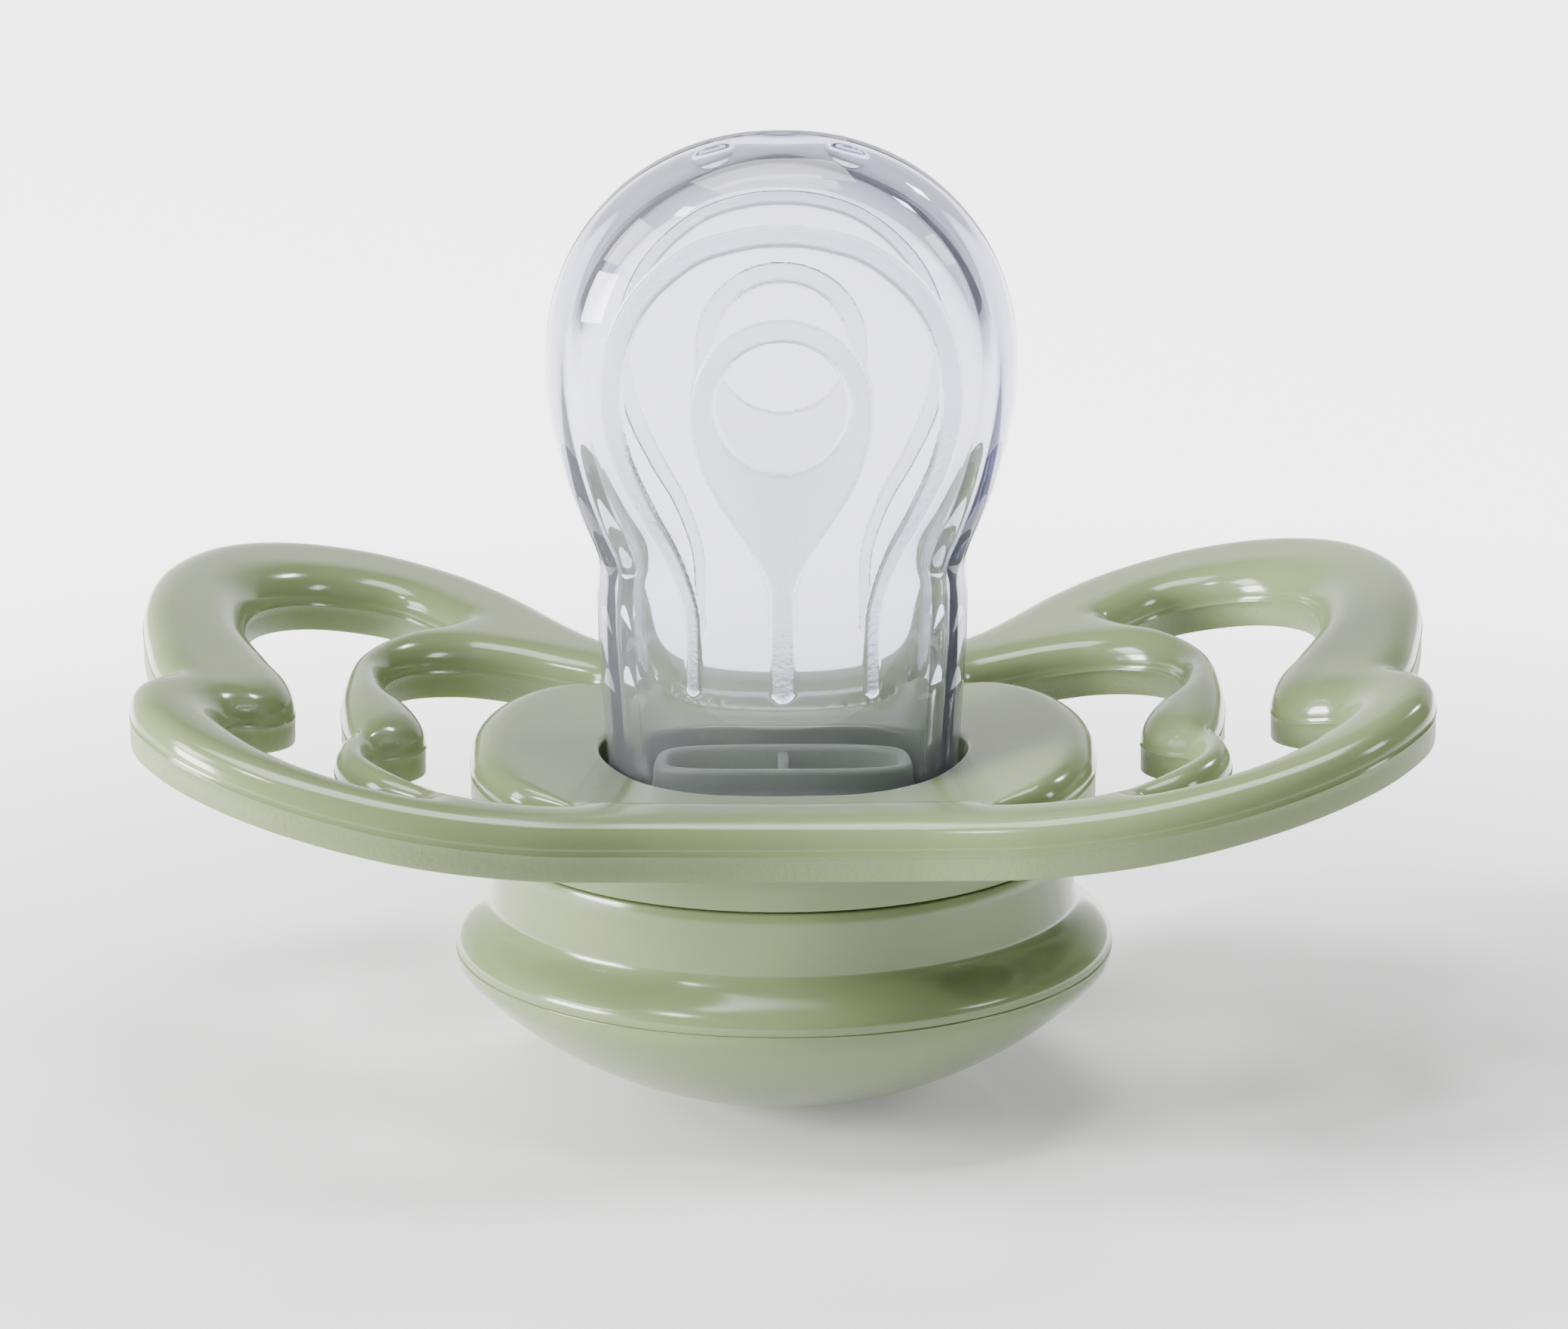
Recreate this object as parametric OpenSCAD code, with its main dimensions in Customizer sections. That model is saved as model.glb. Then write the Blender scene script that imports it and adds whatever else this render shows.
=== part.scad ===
// Baby pacifier: a butterfly shield, a hollow silicone nipple and a mushroom knob.
// The nipple's foot is clamped between the shield's collar and a plug held in the knob.
// Frame: the axis of the knob and the nipple is Z, Z = 0 is the lowest point of the knob's
// dome, +X runs along the wings, and +Y is the side of the baby's nose.

/* [Shield] */
// Height of the moulding line at the middle of the shield
shield_z = 13.75; // [13.6:0.05:14]
// Radius that the wings are bent to, towards the face
bend_r = 90; // [80:1:120]
// Thickness of the shield under the moulding line
shield_low = 1.13; // [1:0.01:1.3]
// Height of the rounded crown over the moulding line
shield_high = 1.4; // [1.2:0.05:1.6]
// Width of the hole that the nipple comes through
hole_w = 15.2; // [15:0.1:15.6]
// Depth of that hole, front to back
hole_d = 11; // [10.9:0.1:11.3]
// Lowest point of the dish in the middle disc, over the moulding line
dish_z = 0.55; // [0.4:0.05:0.8]

/* [Nipple] */
// Height of the tip above the dome's lowest point
nipple_top = 40.8; // [39:0.1:43]
// Width of the bulb
bulb_w = 19.3; // [18:0.1:20]
// Thickness of the flattened bulb, front to back
bulb_d = 11.1; // [10.5:0.1:12]
// Width of the neck where it comes out of the shield
neck_w = 14.6; // [14.2:0.1:14.8]
// Width of the neck under the bulb
waist_w = 15.1; // [14.8:0.1:15.6]
// Thickness of the neck, front to back
neck_d = 10.6; // [10.2:0.1:10.8]
// Thickness of the silicone wall
wall = 1.4; // [1.2:0.1:1.6]

/* [Knob] */
// Radius of the drum and of the shield's collar
drum_r = 12.08; // [12:0.01:12.2]
// Radius of the rim, the widest part of the knob
rim_r = 13.64; // [13.4:0.01:14]
// Radius of the ball that the dome is cut from
dome_r = 18.85; // [18.6:0.05:19.2]
// Height of the line between the dome and the skirt
rim_z = 6.4; // [6.2:0.05:6.5]
// Height of the line between the knob and the shield's collar
seam_z = 11.16; // [11.1:0.02:11.3]

/* [Plug] */
// Outer width of the stadium tube inside the nipple's neck
tube_w = 10.9; // [10:0.1:11.2]
// Outer depth of the stadium tube
tube_d = 4.2; // [4:0.1:5]
// Height of the tube's rim
tube_top = 14.4; // [14.2:0.1:14.8]
// Thickness of the tube's wall
tube_wall = 0.7; // [0.6:0.1:1]
// Thickness of the web across the tube
web_t = 0.6; // [0.5:0.1:0.8]

/* [Hidden] */
eps = 0.01;

// Half of the shield's outline, from the nose side to the mouth side. The corner is the
// notch between the two lobes of the wing.
outline_back = [[0, 12.2], [4, 12.9], [7.6, 15.4], [11.2, 20.6], [14.2, 23.3], [17.8, 24.4],
                [21.6, 23.2], [24.6, 19.8], [26.4, 14.6], [26.9, 8.6], [26.3, 2.2],
                [25.5, -1.4]];
outline_front = [[25.5, -1.4], [26.5, -3.4], [26.7, -5.6], [26.1, -8.2], [24, -11],
                 [20.3, -13.2], [15.4, -14.4], [10.4, -14.2], [5.2, -13], [0, -12.6]];
// Opening between the outer and the inner band of a wing: its outer side, then its inner
// side, which has a notch too.
outer_slot = [[14, 16.2], [16.6, 18.6], [19.6, 18.2], [21.8, 16], [22.8, 12.8], [22.5, 8.2],
              [21.2, 4.2], [20.4, 2], [20.3, -0.2], [21.3, -2.2], [22.8, -3.6], [22.9, -6],
              [21.2, -8.7], [19.4, -10.2], [17, -11.2], [14.6, -11.5], [16.8, -10.2],
              [18.1, -8], [18.3, -5.4], [17.7, -3.2]];
outer_slot_in = [[17.7, -3.2], [18.2, -0.4], [18.4, 3.4], [18, 8.2], [16.6, 12.2], [15, 14.4],
                 [14, 16.2]];
// Opening between the inner band and the middle disc
inner_slot = [[7.6, 10], [9.6, 11.1], [11.6, 11.6], [13.7, 11.4], [15.8, 9.8], [16.8, 7.2],
              [16.3, 3.8], [15.2, 1.4], [14.8, -0.8], [15.6, -2.7], [16.8, -4.2], [16.6, -7],
              [15.2, -9], [13.2, -10.4], [11, -10.6], [8.6, -9.9], [11.2, -8.4],
              [12.6, -5.2], [12.9, -1.6], [12.7, 1.2], [12, 4], [10.9, 6.3], [9.2, 8.6]];
curve_steps = 4;

// Points on a smooth curve through p: closed, or open with its ends left free.
function pt(p, i, closed) =
    closed ? p[(i + len(p)) % len(p)]
    : i < 0 ? 2 * p[0] - p[1]
    : i >= len(p) ? 2 * p[len(p) - 1] - p[len(p) - 2] : p[i];
function blend(a, b, c, d, t) =
    0.5 * (2 * b + (c - a) * t + (2 * a - 5 * b + 4 * c - d) * t * t
           + (3 * b - a - 3 * c + d) * t * t * t);
function curve(p, closed = true) =
    [for (i = [0 : len(p) - (closed ? 1 : 2)], k = [0 : curve_steps - 1])
        blend(pt(p, i - 1, closed), pt(p, i, closed), pt(p, i + 1, closed),
              pt(p, i + 2, closed), k / curve_steps)];
function reversed(p) = [for (i = [len(p) - 1 : -1 : 0]) p[i]];
function mirrored(p) = [for (q = reversed(p)) [-q[0], q[1]]];

// The right half of the outline is run through with its mirror image before it, so that
// the curve crosses the middle line smoothly.
back_full = concat(mirrored(outline_back), [for (i = [1 : len(outline_back) - 1])
                                                outline_back[i]]);
front_full = concat(outline_front, [for (i = [1 : len(outline_front) - 1])
                                        mirrored(outline_front)[i]]);
shield_outline = concat(curve(back_full, false), curve(front_full, false));
outer_outline = concat(curve(outer_slot, false), curve(outer_slot_in, false));
bend_z = shield_z + bend_r;
shield_bottom = shield_z - shield_low;
beyond = 60;
disc_r = 11.5;
dish_depth = shield_high - dish_z;
dish_ball_r = (disc_r * disc_r + dish_depth * dish_depth) / (2 * dish_depth);

// The clamped foot of the nipple, and the pieces that close round it
foot_r = 10.3;
foot_top = 12;
foot_bottom = 10.7;
spigot_r = 11.3;
spigot_low = 9.6;
plug_flange_low = 9.4;
shelf_bore_r = 8.6;
cap_wall = 1.5;
cap_spigot_r = 11.6;
cap_spigot_top = 8;
leg_drop = 1.6;
// The plug widens below the tube's rim, and this much stays free inside the silicone
plug_step_h = 2.4;
plug_step_w = neck_w - 2 * wall - 0.6;
plug_step_d = neck_d - 2 * wall - 1.4;

// Heights above the foot, with the nipple's half width and half depth there
neck_z = shield_z + 0.8;
waist_z = 22.5;
bulb_z = 31.2;
nipple_levels = [
    [foot_bottom, foot_r, foot_r], [foot_top - 0.3, foot_r, foot_r],
    [foot_top, foot_r - 0.3, foot_r - 0.3], [foot_top + 0.02, neck_w / 2, neck_d / 2],
    [neck_z, neck_w / 2, neck_d / 2], [waist_z - 3, waist_w / 2 + 0.05, neck_d / 2 + 0.05],
    [waist_z - 1, waist_w / 2 + 0.05, neck_d / 2 + 0.05],
    [waist_z, waist_w / 2, neck_d / 2 + 0.05],
    [waist_z + 1, waist_w / 2 + 0.2, neck_d / 2 + 0.1],
    [waist_z + 3, waist_w / 2 + 1, neck_d / 2 + 0.15],
    [waist_z + 5, bulb_w / 2 - 0.45, bulb_d / 2 - 0.05], [bulb_z, bulb_w / 2, bulb_d / 2]];
dome_steps = 9;
ring_sides = 48;
// A flattened oval: its front and back are nearly flat and its sides are round.
function oval(a, b, z) =
    let (n = min(a, b) / max(a, b) > 0.95 ? 2 : 2.5)
    [for (k = [0 : ring_sides - 1])
        let (t = 360 * k / ring_sides, c = cos(t), s = sin(t))
        [a * sign(c) * pow(abs(c), 2 / n), b * sign(s) * pow(abs(s), 2 / n), z]];
// The tip is round seen from the front, and blunt seen from the side.
function dome_level(a, b, z, h, t) = [z + h * sin(t), a * cos(t), b * sqrt(1 - pow(sin(t), 3))];
function levels(inset) =
    concat([for (l = nipple_levels) [l[0], l[1] - inset, l[2] - inset]],
           [for (k = [1 : dome_steps])
               dome_level(bulb_w / 2 - inset, bulb_d / 2 - inset, bulb_z,
                          nipple_top - bulb_z - inset, 88 * k / dome_steps)]);
// The cavity is open at the foot and follows the outside from this level up
cavity_from = 4;

module skin(rings) {
    n = ring_sides;
    last = len(rings) - 1;
    walls = [for (i = [0 : last - 1], k = [0 : n - 1])
                [i * n + k, (i + 1) * n + k, (i + 1) * n + (k + 1) % n, i * n + (k + 1) % n]];
    polyhedron([for (r = rings) each r],
               concat(walls, [[for (k = [0 : n - 1]) k]],
                      [[for (k = [n - 1 : -1 : 0]) last * n + k]]));
}

module stadium(w, d) {
    for (s = [-1, 1]) translate([s * (w - d) / 2, 0]) circle(d = d, $fn = 64);
    square([w - d, d], center = true);
}

module wing_slots() {
    for (side = [0, 1]) mirror([side, 0]) {
        polygon(outer_outline);
        polygon(curve(inner_slot));
    }
}

// The bent plate: the plan's outline between two cylinders about one axis along Y
module bent_plate() {
    difference() {
        linear_extrude(height = 2 * shield_z) difference() {
            polygon(shield_outline);
            wing_slots();
        }
        translate([0, 0, bend_z]) rotate([90, 0, 0])
            cylinder(r = bend_r - shield_high, h = 2 * beyond, center = true, $fn = 360);
        difference() {
            translate([-beyond, -beyond, -1]) cube([2 * beyond, 2 * beyond, bend_z]);
            translate([0, 0, bend_z]) rotate([90, 0, 0])
                cylinder(r = bend_r + shield_low, h = 3 * beyond, center = true, $fn = 360);
        }
    }
}

module shield() {
    color("#a9b495") difference() {
        union() {
            bent_plate();
            translate([0, 0, seam_z])
                cylinder(r = drum_r, h = shield_bottom - seam_z + 0.4, $fn = 180);
            translate([0, 0, spigot_low])
                cylinder(r = spigot_r, h = seam_z - spigot_low + 0.5, $fn = 180);
        }
        translate([0, 0, shield_z + dish_z + dish_ball_r]) sphere(r = dish_ball_r, $fn = 180);
        translate([0, 0, spigot_low - 1])
            cylinder(r = foot_r, h = foot_top - spigot_low + 1, $fn = 180);
        translate([0, 0, foot_top - eps]) linear_extrude(height = foot_top)
            stadium(hole_w, hole_d);
    }
}

module nipple() {
    color([0.9, 0.91, 0.96, 0.5]) difference() {
        skin([for (l = levels(0)) oval(l[1], l[2], l[0])]);
        skin(concat([oval(neck_w / 2 - wall, neck_d / 2 - wall, foot_bottom - 1)],
                    [for (i = [cavity_from : len(levels(wall)) - 1])
                        let (l = levels(wall)[i]) oval(l[1], l[2], l[0])]));
    }
}

module inner_plug() {
    color("#8f9a7c") difference() {
        union() {
            translate([0, 0, plug_flange_low])
                cylinder(r = foot_r, h = foot_bottom - plug_flange_low, $fn = 180);
            translate([0, 0, foot_bottom - eps])
                linear_extrude(height = plug_step_h) stadium(plug_step_w, plug_step_d);
            translate([0, 0, foot_bottom - eps])
                linear_extrude(height = tube_top - foot_bottom) stadium(tube_w, tube_d);
            translate([0, 0, plug_flange_low - leg_drop])
                cylinder(r = shelf_bore_r - 0.1, h = leg_drop + eps, $fn = 180);
        }
        difference() {
            translate([0, 0, plug_flange_low - leg_drop - 1]) linear_extrude(height = tube_top)
                stadium(tube_w - 2 * tube_wall, tube_d - 2 * tube_wall);
            translate([-web_t / 2, -tube_d, 0]) cube([web_t, 2 * tube_d, 2 * tube_top]);
        }
    }
}

// Drum and flared skirt, a ring with a shelf inside that the plug sits on. The flare is half
// a cosine wave, over a short straight lip.
module knob_body() {
    flare_w = rim_r - drum_r;
    flare_h = 1.9;
    lip_h = 0.25;
    color("#a4af8f") rotate_extrude($fn = 180) polygon(concat(
        [[cap_spigot_r, rim_z], [rim_r - 0.02, rim_z]],
        [for (t = [0 : 0.1 : 1])
            [drum_r + flare_w * (1 + cos(180 * t)) / 2, rim_z + lip_h + flare_h * t]],
        [[drum_r, seam_z], [spigot_r, seam_z], [spigot_r, spigot_low], [foot_r, spigot_low],
         [foot_r, plug_flange_low], [shelf_bore_r, plug_flange_low],
         [shelf_bore_r, cap_spigot_top], [cap_spigot_r, cap_spigot_top]]));
}

// Domed cap, hollow, with a spigot ring up inside the skirt. Angles are from the dome's axis.
module knob_cap() {
    dome_edge = 45;
    hollow_edge = 30;
    hollow_r = dome_r - cap_wall;
    hollow_top = 5;
    turn_up = 0.45;
    color("#a9b495") rotate_extrude($fn = 180) polygon(concat(
        [for (t = [0 : 3 : dome_edge]) [dome_r * sin(t), dome_r * (1 - cos(t))]],
        [[rim_r - 0.1, rim_z - turn_up], [rim_r - 0.02, rim_z], [cap_spigot_r, rim_z],
         [cap_spigot_r, cap_spigot_top], [cap_spigot_r - cap_wall, cap_spigot_top],
         [cap_spigot_r - cap_wall, hollow_top]],
        [for (t = [hollow_edge : -3 : 0]) [hollow_r * sin(t), dome_r - hollow_r * cos(t)]]));
}

shield();
nipple();
inner_plug();
knob_body();
knob_cap();
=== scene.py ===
"""The looks of a butterfly-shield pacifier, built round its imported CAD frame. Metres, Z up.

Plan curves and heights below are in millimetres, as in the part's source, and turned into
metres by MM. w is a height over the shield's moulding line, which is bent along X.
"""
import math

import bmesh
import bpy
import numpy as np
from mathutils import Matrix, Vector
from mathutils.geometry import delaunay_2d_cdt
from mathutils.kdtree import KDTree


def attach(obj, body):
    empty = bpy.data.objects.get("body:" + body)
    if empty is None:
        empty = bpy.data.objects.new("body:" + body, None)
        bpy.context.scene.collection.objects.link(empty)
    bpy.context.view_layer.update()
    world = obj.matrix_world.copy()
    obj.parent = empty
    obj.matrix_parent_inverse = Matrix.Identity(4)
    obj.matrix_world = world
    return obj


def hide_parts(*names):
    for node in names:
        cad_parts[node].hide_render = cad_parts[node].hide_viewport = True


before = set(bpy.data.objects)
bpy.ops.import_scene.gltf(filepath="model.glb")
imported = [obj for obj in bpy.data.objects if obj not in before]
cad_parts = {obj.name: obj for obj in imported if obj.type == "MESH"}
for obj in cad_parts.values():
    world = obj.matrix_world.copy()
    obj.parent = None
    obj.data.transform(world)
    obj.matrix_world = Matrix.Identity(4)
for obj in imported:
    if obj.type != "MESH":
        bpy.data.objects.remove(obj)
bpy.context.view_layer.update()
MM = 0.001

# ---------------------------------------------------------------- shapes shared with the CAD
SHIELD_Z = 13.75          # height of the moulding line in the middle
BEND_R = 90.0             # the wings are bent to this radius
LOW = 1.13                # thickness under the moulding line
HIGH = 1.4                # height of the crown over it
OUTLINE_BACK = [(0, 12.2), (4, 12.9), (7.6, 15.4), (11.2, 20.6), (14.2, 23.3), (17.8, 24.4),
                (21.6, 23.2), (24.6, 19.8), (26.4, 14.6), (26.9, 8.6), (26.3, 2.2),
                (25.5, -1.4)]
OUTLINE_FRONT = [(25.5, -1.4), (26.5, -3.4), (26.7, -5.6), (26.1, -8.2), (24, -11),
                 (20.3, -13.2), (15.4, -14.4), (10.4, -14.2), (5.2, -13), (0, -12.6)]
OUTER_SLOT = [(14, 16.2), (16.6, 18.6), (19.6, 18.2), (21.8, 16), (22.8, 12.8), (22.5, 8.2),
              (21.2, 4.2), (20.4, 2), (20.3, -0.2), (21.3, -2.2), (22.8, -3.6), (22.9, -6),
              (21.2, -8.7), (19.4, -10.2), (17, -11.2), (14.6, -11.5), (16.8, -10.2),
              (18.1, -8), (18.3, -5.4), (17.7, -3.2)]
OUTER_SLOT_IN = [(17.7, -3.2), (18.2, -0.4), (18.4, 3.4), (18, 8.2), (16.6, 12.2), (15, 14.4),
                 (14, 16.2)]
INNER_SLOT = [(7.6, 10), (9.6, 11.1), (11.6, 11.6), (13.7, 11.4), (15.8, 9.8), (16.8, 7.2),
              (16.3, 3.8), (15.2, 1.4), (14.8, -0.8), (15.6, -2.7), (16.8, -4.2), (16.6, -7),
              (15.2, -9), (13.2, -10.4), (11, -10.6), (8.6, -9.9), (11.2, -8.4),
              (12.6, -5.2), (12.9, -1.6), (12.7, 1.2), (12, 4), (10.9, 6.3), (9.2, 8.6)]
HOLE_W, HOLE_D = 15.2, 11.0
NIPPLE_TOP, BULB_Z, WAIST_Z = 40.8, 31.2, 22.5
DRUM_R, RIM_R, DOME_R, RIM_Z, SEAM_Z = 12.08, 13.64, 18.85, 6.4, 11.16
FOOT_R, FOOT_TOP, FOOT_BOTTOM = 10.3, 12.0, 10.7
SPIGOT_R, SPIGOT_LOW, PLUG_LOW = 11.3, 9.6, 9.4
CAP_SPIGOT_R, CAP_SPIGOT_TOP, SHELF_BORE_R = 11.6, 8.0, 8.6
GAP = 0.01                # left free between faces that touch in the CAD


# ---------------------------------------------------------------- plan curves
def smooth_curve(points, closed, steps):
    """Points on a Catmull-Rom curve through points, steps to each span."""
    p = np.asarray(points, float)
    if closed:
        p = np.vstack([p[-1:], p, p[:2]])
    else:
        p = np.vstack([2 * p[0] - p[1], p, 2 * p[-1] - p[-2]])
    t = (np.arange(steps) / steps)[:, None]
    out = []
    for a, b, c, d in zip(p[:-3], p[1:-2], p[2:-1], p[3:]):
        out.append(0.5 * (2 * b + (c - a) * t + (2 * a - 5 * b + 4 * c - d) * t**2
                          + (3 * b - a - 3 * c + d) * t**3))
    return np.vstack(out)


def even(curve, gap):
    """The closed curve's points moved to an even spacing of about gap."""
    loop = np.vstack([curve, curve[:1]])
    run = np.r_[0, np.cumsum(np.linalg.norm(np.diff(loop, axis=0), axis=1))]
    at = np.linspace(0, run[-1], max(8, int(run[-1] / gap)) + 1)[:-1]
    return np.column_stack([np.interp(at, run, loop[:, k]) for k in (0, 1)])


def anticlockwise(curve):
    """The closed curve, turned round if it runs clockwise."""
    x, y = curve.T
    area = np.sum(x * np.roll(y, -1) - np.roll(x, -1) * y)
    return curve if area > 0 else curve[::-1].copy()


def soften(curve, times):
    """A few passes of averaging, which round a sharp corner by a hair."""
    for _ in range(times):
        curve = 0.5 * curve + 0.25 * (np.roll(curve, 1, 0) + np.roll(curve, -1, 0))
    return curve


def mirror(points):
    """The points mirrored about the middle line, in reverse order."""
    return [(-x, y) for x, y in reversed(points)]


FINE = 0.16               # spacing of the points along a plan curve
STEPS = 24                # points to each span before they are spaced evenly


def plan_outline():
    back = smooth_curve(mirror(OUTLINE_BACK) + OUTLINE_BACK[1:], False, STEPS)
    front = smooth_curve(OUTLINE_FRONT + mirror(OUTLINE_FRONT)[1:], False, STEPS)
    return soften(even(anticlockwise(np.vstack([back, front])), FINE), 3)


def plan_slots():
    outer = np.vstack([smooth_curve(OUTER_SLOT, False, STEPS),
                       smooth_curve(OUTER_SLOT_IN, False, STEPS)])
    inner = smooth_curve(INNER_SLOT, True, STEPS)
    slots = []
    for curve in (outer, inner):
        for side in (1, -1):
            slots.append(soften(even(anticlockwise(curve * [side, 1]), FINE), 3))
    return slots


def stadium(w, d):
    """A slot shape with round ends, w along X and d along Y."""
    r, half = d / 2, (w - d) / 2
    turn = np.linspace(-math.pi / 2, math.pi / 2, 60)
    right = np.column_stack([half + r * np.cos(turn), r * np.sin(turn)])
    return even(np.vstack([right, -right]), FINE)


def circle(r):
    """Points round a circle about the axis."""
    t = np.linspace(0, 2 * math.pi, int(2 * math.pi * r / FINE), endpoint=False)
    return np.column_stack([r * np.cos(t), r * np.sin(t)])


def outward(curve):
    """Unit normals to the right of travel: out of an anticlockwise loop."""
    along = np.roll(curve, -1, 0) - np.roll(curve, 1, 0)
    along /= np.linalg.norm(along, axis=1)[:, None] + 1e-12
    return np.column_stack([along[:, 1], -along[:, 0]])


class Line:
    """A plan curve with a search tree, for distances and for telling inside from outside."""

    def __init__(self, points, closed=True):
        self.points, self.closed = points, closed
        self.tree = KDTree(len(points))
        for k, (x, y) in enumerate(points.tolist()):
            self.tree.insert((x, y, 0), k)
        self.tree.balance()
        self.normal = outward(points) if closed else None

    def distance(self, at):
        """Distance from each point, and whether it lies inside the closed curve."""
        at = np.asarray(at, float)
        find = self.tree.find
        near = np.array([find((x, y, 0))[1] for x, y in at.tolist()], int)
        n = len(self.points)
        here = self.points[near]
        best = np.linalg.norm(at - here, axis=1)
        inside = np.zeros(len(at), bool)
        if self.closed:
            inside = ((at - here) * self.normal[near]).sum(1) < 0
        for step in (-1, 1):
            other = (near + step) % n if self.closed else np.clip(near + step, 0, n - 1)
            along = self.points[other] - here
            size = (along**2).sum(1) + 1e-18
            t = ((at - here) * along).sum(1) / size
            off = at - here - t[:, None] * along
            d = np.linalg.norm(off, axis=1)
            side = step * (along[:, 0] * off[:, 1] - along[:, 1] * off[:, 0]) > 0
            closer = (t > 0) & (t < 1) & (d < best)
            best = np.where(closer, d, best)
            inside = np.where(closer, side, inside)
        return best, inside


OUTLINE = Line(plan_outline())
SLOTS = [Line(s) for s in plan_slots()]
HOLE = Line(stadium(HOLE_W, HOLE_D))


def smooth_min(a, b, k):
    """The smaller of a and b, blended where they are within k of each other."""
    h = np.clip(0.5 + 0.5 * (b - a) / k, 0, 1)
    return b + (a - b) * h - k * h * (1 - h)


def ease(t):
    """A smooth step from 0 to 1."""
    t = np.clip(t, 0, 1)
    return t * t * (3 - 2 * t)


# ---------------------------------------------------------------- the shield's top surface
CROWN_W = 2.0             # the crown reaches its full height this far from an edge
CROWN_POWER = 2.5
BEAD_W = 4.1              # width of the band along the edge
DISH_LOW = 0.52           # the dish beside the nipple, over the moulding line
BEAD_RISE = 1.7           # width over which the bead comes up from the dish
DISC_R = 13.2             # the dished disc ends here at the sides
DISH_TURN, DISH_RISE = (5.5, 6.5), 0.8    # it rises this much from |x| = 5.5, over 6.5
LIP = 0.22                # rounding of the nipple hole's edge
TINY = 1e-4               # a distance under this is on the edge itself


def crown(d):
    """Height of the rounded crown at distance d from an edge."""
    t = 1 - np.clip(d / CROWN_W, 0, 1)
    return np.where(d < TINY, 0, HIGH * (1 - t**CROWN_POWER) ** (1 / CROWN_POWER))


def crease_distance(points, edge):
    """Distance inside the disc's crease, over 0 on the disc; edge is that to the outline."""
    return np.minimum(edge - BEAD_W, DISC_R - np.hypot(*points.T))


def top_height(points):
    """Height of the shield's face over the moulding line, at plan points in the solid."""
    edge = OUTLINE.distance(points)[0]
    gaps = [slot.distance(points)[0] for slot in SLOTS]
    near = edge
    for gap in gaps:
        near = smooth_min(near, gap, 0.7)
    near = np.maximum(near, 0)
    # keep the crown's foot exactly on the edge, where smooth_min would sink it
    closest = np.minimum.reduce([edge] + gaps)
    near = near + (closest - near) * np.clip(1 - closest / 0.5, 0, 1)
    w = crown(near)
    # the dished middle disc, with a crease where the rounded bead meets it
    inside_disc = crease_distance(points, edge)
    dish = DISH_LOW + DISH_RISE * ease((np.abs(points[:, 0]) - DISH_TURN[0]) / DISH_TURN[1])
    back = 1 - np.clip(-inside_disc / BEAD_RISE, 0, 1)
    bead = dish + (HIGH - dish) * np.sqrt(np.clip(1 - back**2, 0, 1))
    w = smooth_min(w, np.where(inside_disc > 0, dish, bead), 0.12)
    w = np.where(closest < 0.25, np.minimum(w, crown(closest)), w)
    # the lip of the nipple hole
    lip = HOLE.distance(points)[0]
    lip = np.where(lip < TINY, 0, lip)
    drop = LIP - np.sqrt(np.clip(LIP**2 - (LIP - np.clip(lip, 0, LIP))**2, 0, None))
    return w - drop


def bent(points, w):
    """Points of the bent plate in metres: plan x, y and height w over the moulding line."""
    x, y = points.T
    r = BEND_R - w
    z = SHIELD_Z + BEND_R - np.sqrt(r**2 - x**2)
    return np.column_stack([x, y, z]) * MM


# ---------------------------------------------------------------- mesh tools
class Build:
    """Collects vertices and faces, then makes one welded, smooth mesh object."""

    def __init__(self):
        self.points, self.faces, self.slots, self.count = [], [], [], 0

    def add(self, points, faces, slot=0):
        self.points.append(np.asarray(points, float))
        self.faces += [tuple(int(i) + self.count for i in f) for f in faces]
        self.slots += [slot] * len(faces)
        self.count += len(points)

    def strip(self, rings, slot=0):
        """Quads between closed rings of equal length."""
        n = len(rings[0])
        faces = []
        for i in range(len(rings) - 1):
            for k in range(n):
                j = (k + 1) % n
                faces.append((i * n + k, i * n + j, (i + 1) * n + j, (i + 1) * n + k))
        self.add(np.vstack(rings), faces, slot)

    def fan(self, ring, tip, up):
        """Triangles from a ring to the point tip."""
        n = len(ring)
        faces = [(k, (k + 1) % n, n) if up else ((k + 1) % n, k, n) for k in range(n)]
        self.add(np.vstack([ring, [tip]]), faces)

    def make(self, name, materials, weld=2e-7):
        """The welded mesh object, in metres; weld is the distance at which points join."""
        mesh = bpy.data.meshes.new(name)
        mesh.from_pydata(np.vstack(self.points).tolist(), [], self.faces)
        mesh.polygons.foreach_set("material_index", self.slots)
        mesh.polygons.foreach_set("use_smooth", [True] * len(self.faces))
        obj = bpy.data.objects.new(name, mesh)
        bpy.context.scene.collection.objects.link(obj)
        for m in materials:
            mesh.materials.append(m)
        bm = bmesh.new()
        bm.from_mesh(mesh)
        bmesh.ops.remove_doubles(bm, verts=bm.verts, dist=weld)
        bmesh.ops.dissolve_degenerate(bm, edges=bm.edges, dist=weld / 2)
        bmesh.ops.recalc_face_normals(bm, faces=bm.faces)
        bm.to_mesh(mesh)
        bm.free()
        print(name, "open or branching edges:", count_bad_edges(mesh),
              "faces:", len(mesh.polygons))
        return obj


def count_bad_edges(mesh):
    """How many edges don't belong to exactly two faces."""
    loops = np.zeros(len(mesh.loops), int)
    mesh.loops.foreach_get("edge_index", loops)
    return int((np.bincount(loops, minlength=len(mesh.edges)) != 2).sum())


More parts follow.
